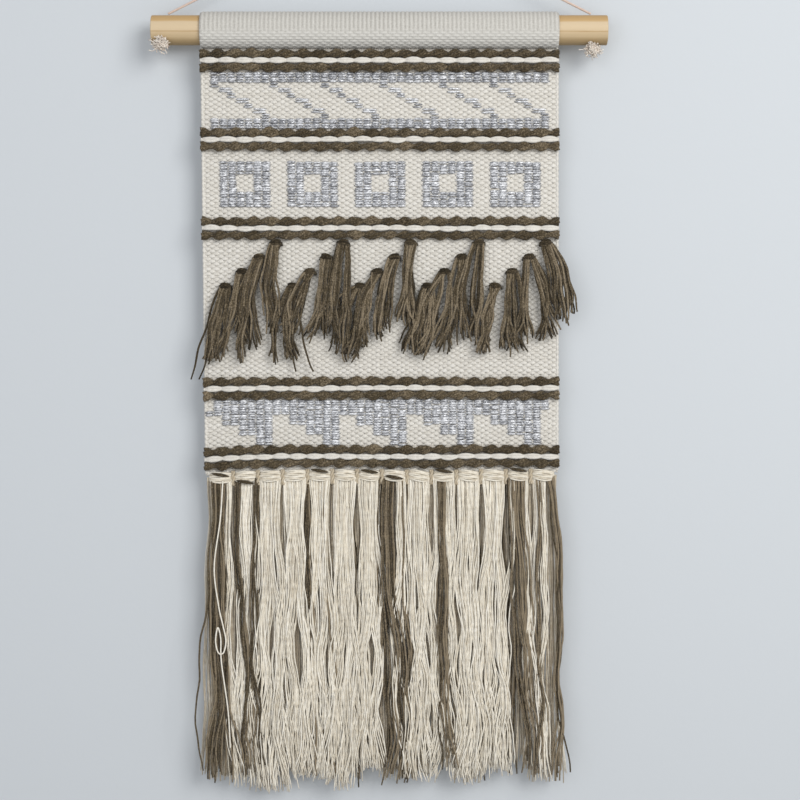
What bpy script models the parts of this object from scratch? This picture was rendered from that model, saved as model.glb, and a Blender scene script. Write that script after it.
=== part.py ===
"""Woven wall hanging: a fringed and tasselled cloth on a pine rod, hung from a cord.

The origin is the point on the nail that carries the cord. +X runs along the rod, +Z is up
and -Y is the front of the cloth. Everything is in metres.
"""

from math import cos, pi, radians, sin

import bmesh
import bpy
from mathutils import Vector

# Cord
CORD_DIAMETER = 0.002
CORD_RISE = 0.092  # from the rod's pivot line up to the nail
CORD_STEP = 0.0053  # between the points of its tube
CORD_SIDES_RESOLUTION = 2
# The right half of the cord's route, from the nail out to its hole:
# shares of the half span along the rod and of the rise
CORD_ROUTE = [
    (0.000, 1.000),
    (0.012, 0.994),
    (0.035, 0.971),
    (0.090, 0.912),
    (0.200, 0.798),
    (0.340, 0.655),
    (0.500, 0.494),
    (0.660, 0.334),
    (0.810, 0.186),
    (0.930, 0.068),
    (1.000, 0.000),
]

# Rod
ROD_DIAMETER = 0.025
ROD_OVERHANG = 0.0417  # beyond each side of the cloth
ROD_EDGE = 0.0006  # rounding of its sawn ends
HOLE_INSET = 0.0136  # from the rod's end to each cord hole
HOLE_CLEARANCE = 0.0006  # around the cord, in its hole
KNOT_RADIUS = 0.0045

# Cloth
CLOTH_WIDTH = 0.300
CLOTH_THICKNESS = 0.003
SLEEVE_CLEARANCE = 0.0004  # around the rod
CONTACT_GAP = 0.0003  # left between touching pieces
BEADS_ACROSS = 21  # the thick rows are tied down once in each bead, every fourth warp

# Thick rows: each band is a wool row, a cream row and a wool row
BAND_YARN_HEIGHT = 0.008
BAND_YARN_DEPTH = 0.0046
BAND_SPLIT = 0.003  # between the two wool rows, where the cream row shows
CREAM_ROW_DEPTH = 0.0026
BAND_OVERLAP = 0.001  # how far a row stands out past the cloth's sides
HEM = 0.0004  # plain cloth above the first band
FOOT = 0.0024  # plain cloth below the last band

# Fields between the bands, from the top
LINE_FIELD = 0.0476
SQUARE_FIELD = 0.0554
TASSEL_FIELD = 0.1155
TRIANGLE_FIELD = 0.0383

# Silver inlays
INLAY_THICKNESS = 0.0006
INLAY_MARGIN = 0.0004  # to the nearest band and to the cloth's sides
LINE_BORDER = 0.0080
LINE_COUNT = 6
LINE_FIRST = 0.50  # in beads from the cloth's left side
LINE_PITCH = 3.35  # in beads
LINE_RUN = 2.95  # in beads, from a line's top to its foot
LINE_WIDTH = 0.0050
SQUARE_COUNT = 5
SQUARE_WIDTH = 0.0415
SQUARE_HEIGHT = 0.0388
SQUARE_HOLE_WIDTH = 0.0160
SQUARE_HOLE_HEIGHT = 0.0150
STRIP_HEIGHT = 0.0087
STEPS = 4  # one bead wide each, in a motif of four beads
TRIANGLE_COUNT = 5
BEADS_PER_MOTIF = 4

# Tassels, in five slanting groups of four
TASSEL_GROUPS = 5
TASSELS_IN_GROUP = 4
TASSEL_FIRST = 1.30  # in beads from the cloth's left side
TASSEL_DROP = 0.0122  # between neighbours of a group
TASSEL_LENGTH = 0.056
TASSEL_KNOT = 0.0032  # radius about its hinge
TASSEL_SIDE_GAP = 0.0016

# Fringe
FRINGE_COUNT = 14
FRINGE_MARGIN = 0.002
FRINGE_LENGTH = 0.270
FRINGE_UNEVEN = 0.014  # how much the bundles' lengths differ
FRINGE_KNOT = 0.0042  # radius about its hinge
FRINGE_SIDE_GAP = 0.0014

# Derived places, in the frame that each comment names
cord_radius = CORD_DIAMETER / 2
rod_radius = ROD_DIAMETER / 2
rod_length = CLOTH_WIDTH + 2 * ROD_OVERHANG
hole_x = rod_length / 2 - HOLE_INSET
pivot_z = cord_radius - CORD_RISE  # world: the cord's underside at the nail is z = 0
rod_z = -(cord_radius + CONTACT_GAP + rod_radius)  # below the pivot line
sleeve_inner = rod_radius + SLEEVE_CLEARANCE
sleeve_outer = sleeve_inner + CLOTH_THICKNESS
bead = CLOTH_WIDTH / BEADS_ACROSS
left = -CLOTH_WIDTH / 2
band_height = 2 * BAND_YARN_HEIGHT + BAND_SPLIT
front_y = -CLOTH_THICKNESS / 2

# Down the cloth, below the rod's axis
cloth_top = -(sleeve_outer + CONTACT_GAP)
band_tops = []
field_tops = []
level = cloth_top - HEM
for field in (LINE_FIELD, SQUARE_FIELD, TASSEL_FIELD, TRIANGLE_FIELD, None):
    band_tops.append(level)
    level -= band_height
    if field:
        field_tops.append(level)
        level -= field
cloth_foot = level - FOOT
line_top, square_top, tassel_top, triangle_top = field_tops

for old in list(bpy.data.objects):
    bpy.data.objects.remove(old, do_unlink=True)
hanging = bpy.data.collections.new("wall_hanging")
cutters = bpy.data.collections.new("cutters")
bpy.context.scene.collection.children.link(hanging)
bpy.context.scene.collection.children.link(cutters)


def material(name, colour, roughness, metallic=0.0):
    made = bpy.data.materials.new(name)
    made.use_nodes = True
    shader = made.node_tree.nodes["Principled BSDF"]
    shader.inputs["Base Color"].default_value = (*colour, 1)
    shader.inputs["Roughness"].default_value = roughness
    shader.inputs["Metallic"].default_value = metallic
    return made


pine = material("pine", (0.56, 0.42, 0.24), 0.55)
twine = material("cotton_twine", (0.58, 0.46, 0.36), 0.90)
cotton = material("cream_cotton", (0.62, 0.59, 0.52), 0.92)
wool = material("taupe_wool", (0.085, 0.070, 0.050), 0.95)
silver = material("silver_lurex", (0.42, 0.43, 0.46), 0.40, 0.6)


def add(name, data, finish, parent=None, place=(0, 0, 0), turn=(0, 0, 0), home=hanging):
    """Links a new object that holds the mesh or curve, under its parent."""
    made = bpy.data.objects.new(name, data)
    home.objects.link(made)
    made.parent = parent
    made.location = place
    made.rotation_euler = turn
    if finish:
        data.materials.append(finish)
    return made


def turned(name, profile, steps, closed, **placing):
    """A profile of (radius, height) points, down its outer side, turned about its own Z."""
    mesh = bpy.data.meshes.new(name)
    count = len(profile)
    edges = [(i, i + 1) for i in range(count - 1)] + ([(count - 1, 0)] if closed else [])
    mesh.from_pydata([(radius, 0, height) for radius, height in profile], edges, [])
    made = add(name, mesh, **placing)
    screw = made.modifiers.new("turn", "SCREW")
    screw.steps = screw.render_steps = steps
    screw.use_merge_vertices = True
    screw.merge_threshold = 0.0001
    return made


def extruded(name, loops, thickness, **placing):
    """A flat outline, then its holes, as loops of (x, y) points, with a thickness along Z."""
    curve = bpy.data.curves.new(name, "CURVE")
    curve.dimensions = "2D"
    curve.fill_mode = "BOTH"
    curve.extrude = thickness / 2
    for loop in loops:
        spline = curve.splines.new("POLY")
        spline.points.add(len(loop) - 1)
        spline.use_cyclic_u = True
        for point, (x, y) in zip(spline.points, loop):
            point.co = (x, y, 0, 1)
    return add(name, curve, **placing)


def lofted(name, sections, sides, **placing):
    """Oval sections of (z, half width, half depth, y), from the top down, joined and capped."""
    mesh = bpy.data.meshes.new(name)
    shape = bmesh.new()
    rings = []
    for z, half_width, half_depth, y in sections:
        angles = [2 * pi * i / sides for i in range(sides)]
        ring = [(half_width * cos(a), y + half_depth * sin(a), z) for a in angles]
        rings.append([shape.verts.new(corner) for corner in ring])
    for upper, lower in zip(rings, rings[1:]):
        for i in range(sides):
            j = (i + 1) % sides
            shape.faces.new((upper[i], upper[j], lower[j], lower[i]))
    shape.faces.new(rings[0])
    shape.faces.new(rings[-1])
    bmesh.ops.recalc_face_normals(shape, faces=shape.faces)
    shape.to_mesh(mesh)
    shape.free()
    mesh.shade_smooth()
    return add(name, mesh, **placing)


def empty(name, place, parent=None):
    return add(name, None, None, parent, place)


def rectangle(x0, x1, y0, y1):
    return [(x0, y0), (x1, y0), (x1, y1), (x0, y1)]


# The pivot line runs through the cord's two ends, just above the rod
rod_pivot = empty("rod_pivot", (0, 0, pivot_z))
rod_axis = empty("rod_axis", (0, 0, rod_z), rod_pivot)

# ---- Hanging cord: up from one hole, over the nail and down to the other ----


def smooth_route(points, step):
    """Points about a step apart on the Catmull-Rom curve through the given points."""
    ends = [2 * points[0] - points[1], *points, 2 * points[-1] - points[-2]]
    route = [points[0]]
    for a, b, c, d in zip(ends, ends[1:], ends[2:], ends[3:]):
        parts = max(1, round((c - b).length / step))
        for i in range(1, parts + 1):
            t = i / parts
            route.append(
                0.5 * (2 * b + (c - a) * t + (2 * a - 5 * b + 4 * c - d) * t**2
                       + (3 * b - 3 * c + d - a) * t**3)
            )
    return route


right_half = [Vector((along * hole_x, 0, up * CORD_RISE)) for along, up in CORD_ROUTE]
left_half = [Vector((-point.x, 0, point.z)) for point in reversed(right_half[1:])]
cord_route = smooth_route(left_half + right_half, CORD_STEP)
cord = bpy.data.curves.new("hanging_cord", "CURVE")
cord.dimensions = "3D"
cord.bevel_depth = cord_radius
cord.bevel_resolution = CORD_SIDES_RESOLUTION
cord.use_fill_caps = True
spline = cord.splines.new("POLY")
spline.points.add(len(cord_route) - 1)
for point, place in zip(spline.points, cord_route):
    point.co = (*place, 1)
add("hanging_cord", cord, twine, place=(0, 0, pivot_z))

# ---- Rod: a planed pine dowel with a hole down through it near each end ----

bpy.ops.mesh.primitive_cylinder_add(vertices=48, radius=rod_radius, depth=rod_length)
blank = bpy.context.object
rod_mesh = blank.data
bpy.data.objects.remove(blank)
rod = add("rod", rod_mesh, pine, rod_axis, turn=(0, pi / 2, 0))
edge = rod.modifiers.new("edge", "BEVEL")
edge.width = ROD_EDGE
edge.segments = 2
edge.limit_method = "ANGLE"
edge.angle_limit = radians(40)
for side, hole_place in (("left", -hole_x), ("right", hole_x)):
    bpy.ops.mesh.primitive_cylinder_add(
        vertices=16, radius=cord_radius + HOLE_CLEARANCE, depth=2 * ROD_DIAMETER
    )
    drill = bpy.context.object.data
    bpy.data.objects.remove(bpy.context.object)
    cutter = add(f"{side}_cord_hole", drill, None, rod_axis, (hole_place, 0, 0), home=cutters)
    cutter.hide_render = True
    cutter.display_type = "WIRE"
    cut = rod.modifiers.new(f"{side}_hole", "BOOLEAN")
    cut.object = cutter
rod_mesh.shade_smooth()
rod_mesh.set_sharp_from_angle(angle=radians(35))

# ---- Stopper knots: each end of the cord, down its hole and knotted under the rod ----

shank_top = rod_radius
knot_z = -(rod_radius + CONTACT_GAP + KNOT_RADIUS)
for side, hole_place in (("left", -hole_x), ("right", hole_x)):
    ball = [
        (KNOT_RADIUS * sin(a), knot_z + KNOT_RADIUS * cos(a))
        for a in (radians(25 + 155 * i / 7) for i in range(7))
    ]
    profile = [(0, shank_top), (cord_radius, shank_top), (cord_radius, ball[0][1] + CONTACT_GAP)]
    profile += ball + [(0, knot_z - KNOT_RADIUS)]
    turned(f"{side}_stopper_knot", profile, 16, False, finish=twine, parent=rod_axis,
           place=(hole_place, 0, 0))

# ---- Rod sleeve: the cloth's own top, folded round the rod and sewn down ----

sleeve_profile = [
    (sleeve_outer, CLOTH_WIDTH / 2),
    (sleeve_outer, -CLOTH_WIDTH / 2),
    (sleeve_inner, -CLOTH_WIDTH / 2),
    (sleeve_inner, CLOTH_WIDTH / 2),
]
turned("rod_sleeve", sleeve_profile, 40, True, finish=cotton, parent=rod_axis, turn=(0, pi / 2, 0))

# ---- Woven panel: one cotton cloth, with the cream rows of the bands woven in ----

# Everything on the cloth turns with it about the rod's axis
cloth_axis = empty("cloth_axis", (0, 0, 0), rod_axis)
section = [(-front_y, cloth_foot), (-front_y, cloth_top), (front_y, cloth_top)]
for top in band_tops:
    ridge_top = top - BAND_YARN_HEIGHT - CONTACT_GAP
    ridge_foot = top - BAND_YARN_HEIGHT - BAND_SPLIT + CONTACT_GAP
    ridge_y = front_y - CREAM_ROW_DEPTH
    section += [(front_y, ridge_top), (ridge_y, ridge_top)]
    section += [(ridge_y, ridge_foot), (front_y, ridge_foot)]
section.append((front_y, cloth_foot))
extruded("woven_panel", [section], CLOTH_WIDTH, finish=cotton, parent=cloth_axis,
         turn=(pi / 2, 0, pi / 2))

# ---- Band yarns: thick wool rows, two to a band, laid across the front ----

yarn_half = CLOTH_WIDTH / 2 + BAND_OVERLAP
yarn_radius = BAND_YARN_HEIGHT / 2
yarn_end = [
    (yarn_radius * cos(a), yarn_half - yarn_radius + yarn_radius * sin(a))
    for a in (radians(22.5 * i) for i in range(4))
]
yarn_profile = [(0, yarn_half), *reversed(yarn_end)]
yarn_profile += [(radius, -height) for radius, height in yarn_end] + [(0, -yarn_half)]
yarn_y = front_y - CONTACT_GAP - BAND_YARN_DEPTH / 2
for number, top in enumerate(band_tops, 1):
    upper_z = top - BAND_YARN_HEIGHT / 2
    rows = {"upper": upper_z, "lower": upper_z - BAND_YARN_HEIGHT - BAND_SPLIT}
    for row, row_z in rows.items():
        yarn = turned(f"band_{number}_{row}_yarn", yarn_profile, 14, False, finish=wool,
                      parent=cloth_axis, place=(0, yarn_y, row_z), turn=(0, pi / 2, 0))
        yarn.scale.y = BAND_YARN_DEPTH / BAND_YARN_HEIGHT

# ---- Silver inlays: metallic yarn woven over the cotton ----

inlay_y = front_y - CONTACT_GAP - INLAY_THICKNESS / 2
inlay_left = left + INLAY_MARGIN
inlay_right = -inlay_left


def inlay(name, loops):
    """A flat silver patch whose loops give its outline and holes as seen from the front."""
    extruded(name, loops, INLAY_THICKNESS, finish=silver, parent=cloth_axis,
             place=(0, inlay_y, 0), turn=(pi / 2, 0, 0))


# Slanting lines between two borders
top = line_top - INLAY_MARGIN
foot = line_top - LINE_FIELD + INLAY_MARGIN
under = top - LINE_BORDER
over = foot + LINE_BORDER
starts = [left + (LINE_FIRST + LINE_PITCH * i) * bead for i in range(LINE_COUNT)]
run = LINE_RUN * bead
frame = [
    (inlay_left, top), (inlay_left, under), (starts[0], under), (starts[0] + run, over),
    (inlay_left, over), (inlay_left, foot), (inlay_right, foot), (inlay_right, over),
    (starts[-1] + run + LINE_WIDTH, over), (starts[-1] + LINE_WIDTH, under),
    (inlay_right, under), (inlay_right, top),
]
gaps = [
    [(a + LINE_WIDTH, under), (b, under), (b + run, over), (a + run + LINE_WIDTH, over)]
    for a, b in zip(starts, starts[1:])
]
inlay("silver_lines", [frame, *gaps])

# Hollow squares, one to a motif
motif = BEADS_PER_MOTIF * bead
square_z = square_top - SQUARE_FIELD / 2
for number in range(SQUARE_COUNT):
    x = (number - (SQUARE_COUNT - 1) / 2) * motif
    half = SQUARE_WIDTH / 2
    tall = SQUARE_HEIGHT / 2
    hole = SQUARE_HOLE_WIDTH / 2
    hole_tall = SQUARE_HOLE_HEIGHT / 2
    inlay(f"silver_square_{number + 1}", [
        rectangle(x - half, x + half, square_z - tall, square_z + tall),
        rectangle(x - hole, x + hole, square_z - hole_tall, square_z + hole_tall),
    ])

# Stepped triangles under a strip: each step is a bead wide, and the first is half as deep
strip_top = triangle_top - INLAY_MARGIN
strip_foot = strip_top - STRIP_HEIGHT
step_depth = (TRIANGLE_FIELD - 2 * INLAY_MARGIN - STRIP_HEIGHT) / (STEPS - 0.5)
stair = [(inlay_right, strip_foot), (inlay_right, strip_top), (inlay_left, strip_top)]
for number in range(TRIANGLE_COUNT):
    for step in range(STEPS):
        x = left + number * motif + step * bead
        step_foot = strip_foot - (step + 0.5) * step_depth
        stair += [(max(x, inlay_left), step_foot), (x + bead, step_foot)]
stair.append((x + bead, strip_foot))
inlay("silver_triangles", [stair])

# ---- Tassels: cut wool looped round the warps, each hanging from its own knot ----

tassel_y = front_y - CONTACT_GAP - TASSEL_KNOT
tassel_half = (bead - TASSEL_SIDE_GAP) / 2
first_knot_z = tassel_top - CONTACT_GAP - TASSEL_KNOT
tassel_sections = [
    (0.95 * TASSEL_KNOT, 0.35 * tassel_half, 0.25 * TASSEL_KNOT, 0),
    (0.60 * TASSEL_KNOT, 0.72 * tassel_half, 0.75 * TASSEL_KNOT, 0),
    (0, 0.86 * tassel_half, TASSEL_KNOT, 0),
    (-0.75 * TASSEL_KNOT, 0.70 * tassel_half, 0.80 * TASSEL_KNOT, -0.10 * TASSEL_KNOT),
    (-0.16 * TASSEL_LENGTH, 0.82 * tassel_half, 0.95 * TASSEL_KNOT, -0.12 * TASSEL_KNOT),
    (-0.55 * TASSEL_LENGTH, tassel_half, 1.20 * TASSEL_KNOT, -0.30 * TASSEL_KNOT),
    (-0.90 * TASSEL_LENGTH, 0.92 * tassel_half, 1.10 * TASSEL_KNOT, -0.30 * TASSEL_KNOT),
    (-TASSEL_LENGTH, 0.66 * tassel_half, 0.70 * TASSEL_KNOT, -0.30 * TASSEL_KNOT),
]
for number in range(TASSEL_GROUPS * TASSELS_IN_GROUP):
    x = left + (TASSEL_FIRST + number) * bead
    steps_down = TASSELS_IN_GROUP - 1 - number % TASSELS_IN_GROUP
    knot = (x, tassel_y, first_knot_z - steps_down * TASSEL_DROP)
    lofted(f"tassel_{number + 1:02d}", tassel_sections, 12, finish=wool, parent=cloth_axis,
           place=knot)

# ---- Fringe: bundles of cotton and wool knotted along the cloth's foot ----

fringe_pitch = (CLOTH_WIDTH - 2 * FRINGE_MARGIN) / FRINGE_COUNT
fringe_half = (fringe_pitch - FRINGE_SIDE_GAP) / 2
fringe_z = cloth_foot - CONTACT_GAP - FRINGE_KNOT
for number in range(FRINGE_COUNT):
    length = FRINGE_LENGTH - FRINGE_UNEVEN * (0.5 + 0.5 * sin(2.3 * number))
    sections = [
        (0.95 * FRINGE_KNOT, 0.50 * fringe_half, 0.25 * FRINGE_KNOT, 0),
        (0.60 * FRINGE_KNOT, 0.86 * fringe_half, 0.75 * FRINGE_KNOT, 0),
        (0, 0.95 * fringe_half, FRINGE_KNOT, 0),
        (-1.40 * FRINGE_KNOT, 0.62 * fringe_half, 0.75 * FRINGE_KNOT, 0),
        (-0.07 * length, 0.74 * fringe_half, 0.90 * FRINGE_KNOT, 0),
        (-0.30 * length, 0.94 * fringe_half, 1.30 * FRINGE_KNOT, 0),
        (-0.65 * length, fringe_half, 1.60 * FRINGE_KNOT, 0),
        (-0.94 * length, 0.94 * fringe_half, 1.40 * FRINGE_KNOT, 0),
        (-length, 0.76 * fringe_half, 0.80 * FRINGE_KNOT, 0),
    ]
    x = left + FRINGE_MARGIN + (number + 0.5) * fringe_pitch
    lofted(f"fringe_{number + 1:02d}", sections, 12, finish=cotton, parent=cloth_axis,
           place=(x, 0, fringe_z))
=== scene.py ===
"""Woven wall hanging on a pine rod: the finished look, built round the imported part.

Metres throughout. +X runs along the rod, +Z is up, -Y is the front of the cloth,
and the origin is the point on the nail that carries the cord.
"""

from math import cos, pi, sin

import bpy
import numpy as np
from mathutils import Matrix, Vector


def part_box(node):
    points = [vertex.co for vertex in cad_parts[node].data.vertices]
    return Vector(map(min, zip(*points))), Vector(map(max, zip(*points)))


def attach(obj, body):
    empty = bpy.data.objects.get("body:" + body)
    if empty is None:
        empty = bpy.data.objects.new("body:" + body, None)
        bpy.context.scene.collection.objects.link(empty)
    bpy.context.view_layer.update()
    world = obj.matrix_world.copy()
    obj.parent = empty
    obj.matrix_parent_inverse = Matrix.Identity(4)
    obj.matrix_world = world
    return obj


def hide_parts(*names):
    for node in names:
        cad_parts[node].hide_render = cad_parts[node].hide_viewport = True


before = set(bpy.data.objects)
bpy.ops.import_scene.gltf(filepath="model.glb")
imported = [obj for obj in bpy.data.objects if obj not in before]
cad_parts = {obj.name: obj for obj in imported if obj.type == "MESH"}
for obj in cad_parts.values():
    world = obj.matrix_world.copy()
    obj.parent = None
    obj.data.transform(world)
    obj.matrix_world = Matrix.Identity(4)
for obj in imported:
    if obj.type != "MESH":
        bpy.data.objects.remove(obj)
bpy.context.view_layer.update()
bpy.ops.object.select_all(action="DESELECT")

# ---- Camera ----
# It stands square to the wall, a little to the right of the cloth's middle and level
# with the tassels. The apex of the cord is above its view.

camera_data = bpy.data.cameras.new("camera")
camera_data.sensor_width = 36
camera_data.lens = 85.45
camera_data.clip_end = 30
camera = bpy.data.objects.new("camera", camera_data)
bpy.context.scene.collection.objects.link(camera)
camera.location = (0.0173, -1.6, -0.4163)
camera.rotation_euler = (pi / 2, 0, 0)
bpy.context.scene.camera = camera
bpy.context.scene.view_settings.view_transform = "Standard"

# ---- Hanging cord ----
# One length of soft three-ply cotton twine. It leaves the hole at the left end of the rod,
# goes up over the nail and comes down into the hole at the right end, held taut by the weight.

CORD_RADIUS = 0.001
CORD_RISE = 0.092  # from the rod's holes to the nail
HOLE_FROM_END = 0.0136
CORD_ROUTE = [
    (0.000, 1.000), (0.012, 0.994), (0.035, 0.971), (0.090, 0.912), (0.200, 0.798),
    (0.340, 0.655), (0.500, 0.494), (0.660, 0.334), (0.810, 0.186), (0.930, 0.068),
    (1.000, 0.000),
]
rod_low, rod_high = (np.array(corner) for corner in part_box("rod"))
rod_z = (rod_low[2] + rod_high[2]) / 2
rod_radius = (rod_high[2] - rod_low[2]) / 2
rod_half = rod_high[0]
hole_x = rod_half - HOLE_FROM_END
hole_top_z = CORD_RADIUS - CORD_RISE


def rounded_route(points, step):
    """Points about a step apart on the Catmull-Rom curve through the given points."""
    points = np.array(points, float)
    ends = [2 * points[0] - points[1], *points, 2 * points[-1] - points[-2]]
    route = [points[0]]
    for a, b, c, d in zip(ends, ends[1:], ends[2:], ends[3:]):
        parts = max(1, round(np.linalg.norm(c - b) / step))
        for t in (np.arange(parts) + 1) / parts:
            route.append(0.5 * (2 * b + (c - a) * t + (2 * a - 5 * b + 4 * c - d) * t**2
                                + (3 * b - 3 * c + d - a) * t**3))
    return np.array(route)


def distance_along(paths):
    """How far each point of each path is from the path's start."""
    steps = np.linalg.norm(np.diff(paths, axis=-2), axis=-1)
    return np.concatenate([np.zeros_like(steps[..., :1]), np.cumsum(steps, axis=-1)], axis=-1)


def spin_yarns(name, paths, across, deep, sides, hint, tones, plies=0, ply_turn=0.008, groove=0.2):
    """One mesh of closed yarns, one to each path, all with the same number of points.

    Across and deep are the half sizes, with across nearest to the hint's direction. Plies cut
    grooves that wind round the yarn, once in each ply_turn. Tones go to the finish.
    """
    paths = np.asarray(paths, float)
    yarns, points = paths.shape[:2]
    along = np.gradient(paths, axis=1)
    along /= np.linalg.norm(along, axis=2, keepdims=True)
    front = np.cross(along, np.asarray(hint, float))
    front /= np.linalg.norm(front, axis=2, keepdims=True)
    side = np.cross(front, along)
    length = distance_along(paths)
    angle = 2 * pi * np.arange(sides) / sides
    size = np.ones((yarns, points, sides))
    if plies:
        wound = angle[None, None, :] + 2 * pi * length[..., None] / ply_turn
        size = 1 - groove + groove * np.abs(np.cos(plies * wound / 2))
    across = np.broadcast_to(across, (yarns, points))[..., None] * size
    deep = np.broadcast_to(deep, (yarns, points))[..., None] * size
    rings = (paths[:, :, None, :]
             + (across * np.cos(angle))[..., None] * side[:, :, None, :]
             + (deep * np.sin(angle))[..., None] * front[:, :, None, :])
    number = np.arange(yarns * points * sides).reshape(yarns, points, sides)
    turned = np.roll(number, -1, axis=2)
    walls = np.stack([number[:, :-1], turned[:, :-1], turned[:, 1:], number[:, 1:]], axis=-1)
    caps = np.concatenate([number[:, 0, ::-1], number[:, -1]]).ravel()
    wall_count, cap_count = walls.size // 4, 2 * yarns
    mesh = bpy.data.meshes.new(name)
    mesh.vertices.add(number.size)
    mesh.vertices.foreach_set("co", rings.ravel())
    mesh.loops.add(walls.size + caps.size)
    mesh.loops.foreach_set("vertex_index", np.concatenate([walls.ravel(), caps]))
    mesh.polygons.add(wall_count + cap_count)
    starts = [4 * np.arange(wall_count), 4 * wall_count + sides * np.arange(cap_count)]
    mesh.polygons.foreach_set("loop_start", np.concatenate(starts))
    turn = np.arange(sides) / sides
    near, far = length[:, :-1], length[:, 1:]
    corner_length = np.stack([near, near, far, far], axis=-1)
    corner_length = np.broadcast_to(corner_length[:, :, None, :], walls.shape)
    corner_turn = np.stack([turn, turn + 1 / sides, turn + 1 / sides, turn], axis=-1)
    corner_turn = np.broadcast_to(corner_turn, walls.shape)
    wall_uv = np.stack([corner_length, corner_turn], axis=-1).reshape(-1, 2)
    cap_uv = np.zeros((caps.size, 2))
    mesh.uv_layers.new(name="yarn")
    mesh.uv_layers["yarn"].data.foreach_set("uv", np.concatenate([wall_uv, cap_uv]).ravel())
    tone = mesh.attributes.new("tone", "FLOAT", "POINT")
    every = np.broadcast_to(np.reshape(tones, (yarns, -1, 1)), (yarns, points, sides))
    tone.data.foreach_set("value", every.astype(np.float32).ravel())
    mesh.update(calc_edges=True)
    mesh.validate()
    mesh.shade_smooth()
    piece = bpy.data.objects.new(name, mesh)
    bpy.context.scene.collection.objects.link(piece)
    return piece


class Value:
    """A number on a shader's socket. Python sums on it add the Math nodes."""

    def __init__(self, tree, socket):
        self.tree, self.socket = tree, socket

    def worked(self, operation, *others):
        node = self.tree.nodes.new("ShaderNodeMath")
        node.operation = operation
        for place, value in zip(node.inputs, (self, *others)):
            if isinstance(value, Value):
                self.tree.links.new(value.socket, place)
            else:
                place.default_value = value
        return Value(self.tree, node.outputs[0])

    def __add__(self, other):
        return self.worked("ADD", other)

    def __mul__(self, other):
        return self.worked("MULTIPLY", other)

    def __sub__(self, other):
        return self.worked("SUBTRACT", other)

    def __rsub__(self, other):
        return self * -1 + other

    __radd__, __rmul__ = __add__, __mul__

    def sine(self):
        return self.worked("SINE")

    def power(self, exponent):
        return self.worked("POWER", exponent)


class Finish:
    """A material, with one method that adds any node but a Math node."""

    def __init__(self, name, **constants):
        self.material = bpy.data.materials.new(name)
        self.material.use_nodes = True
        self.tree = self.material.node_tree
        self.shader = self.tree.nodes["Principled BSDF"]
        for socket, value in constants.items():
            self.shader.inputs[socket.replace("_", " ")].default_value = value

    def node(self, kind, settings=None, inputs=None, output=0):
        made = self.tree.nodes.new("ShaderNode" + kind)
        for name, value in (settings or {}).items():
            if name == "stops":
                ramp = made.color_ramp
                while len(ramp.elements) < len(value):
                    ramp.elements.new(1)
                for stop, (place, colour) in zip(ramp.elements, value):
                    stop.position, stop.color = place, (*colour, 1)
            else:
                setattr(made, name, value)
        for name, value in (inputs or {}).items():
            if isinstance(value, Value):
                self.tree.links.new(value.socket, made.inputs[name])
            else:
                made.inputs[name].default_value = value
        return Value(self.tree, made.outputs[output])

    def feed(self, socket, value):
        self.tree.links.new(value.socket, self.shader.inputs[socket])


def yarn_finish(name, dark, middle, light, twists, fleck, hairs, bump, roughness, sheen,
                contrast=1.0):
    """Spun yarn: tones from yarn to yarn, flecks along it, twist and loose hairs in relief.

    Twists is how often its plies go round in a metre, fleck and hairs are noise scales.
    """
    made = Finish(name, Roughness=roughness, Sheen_Weight=sheen, Sheen_Roughness=0.5)
    made.shader.inputs["Specular IOR Level"].default_value = 0.15
    place = made.node("UVMap", {"uv_map": "yarn"})
    split = made.node("SeparateXYZ", inputs={0: place})
    round_it = Value(made.tree, split.socket.node.outputs[1])
    tone = made.node("Attribute", {"attribute_name": "tone"}, output=2)
    spot = made.node("TexCoord", output=3)
    patch = made.node("TexNoise", inputs={"Vector": spot, "Scale": fleck, "Detail": 3.0})
    drawn = made.node("CombineXYZ", inputs={0: split * 0.25, 1: round_it * 0.004, 2: tone * 0.01})
    hair = made.node("TexNoise", inputs={"Vector": drawn, "Scale": hairs, "Detail": 2.0})
    depth = (tone * 0.5 + patch * 0.6 + hair * 0.5 - 0.8) * contrast + 0.5
    made.feed("Base Color", made.node("ValToRGB", {"stops": [
            (0.15, dark), (0.50, middle), (0.85, light)]}, {"Fac": depth}))
    strand = (split * (2 * pi * twists) + round_it * (2 * pi)).sine()
    relief = strand * 0.5 + hair * 0.9
    made.feed("Normal", made.node("Bump", inputs={
        "Strength": bump, "Distance": 0.0004, "Height": relief}))
    return made.material


TWINE_TURN = 0.0075
twine = yarn_finish(
    "cotton_twine", (0.46, 0.33, 0.27), (0.60, 0.47, 0.40), (0.72, 0.61, 0.54),
    twists=160, fleck=900, hairs=4200, bump=0.5, roughness=0.9, sheen=0.3)
right_half = [(along * hole_x, 0, hole_top_z + up * CORD_RISE) for along, up in CORD_ROUTE]
left_half = [(-x, y, z) for x, y, z in reversed(right_half[1:])]
cord_path = rounded_route(left_half + right_half, 0.0009)
ply_crest = 1.06 * CORD_RADIUS
cord = spin_yarns("hanging_cord_twine", [cord_path], ply_crest, ply_crest, 12, (0, 1, 0), [[0.5]],
                  plies=3, ply_turn=TWINE_TURN, groove=0.22)
cord.data.materials.append(twine)
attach(cord, "hanging_cord")
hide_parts("hanging_cord")

# ---- Stopper knots ----
# The two ends of the same twine, through the rod's holes and tied in an overhand knot under it.
# The tails are teased out into a soft tuft that stops the knot from slipping back.

KNOT_SIZE = 0.00135
KNOT_TWINE_RADIUS = 0.00105
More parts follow.
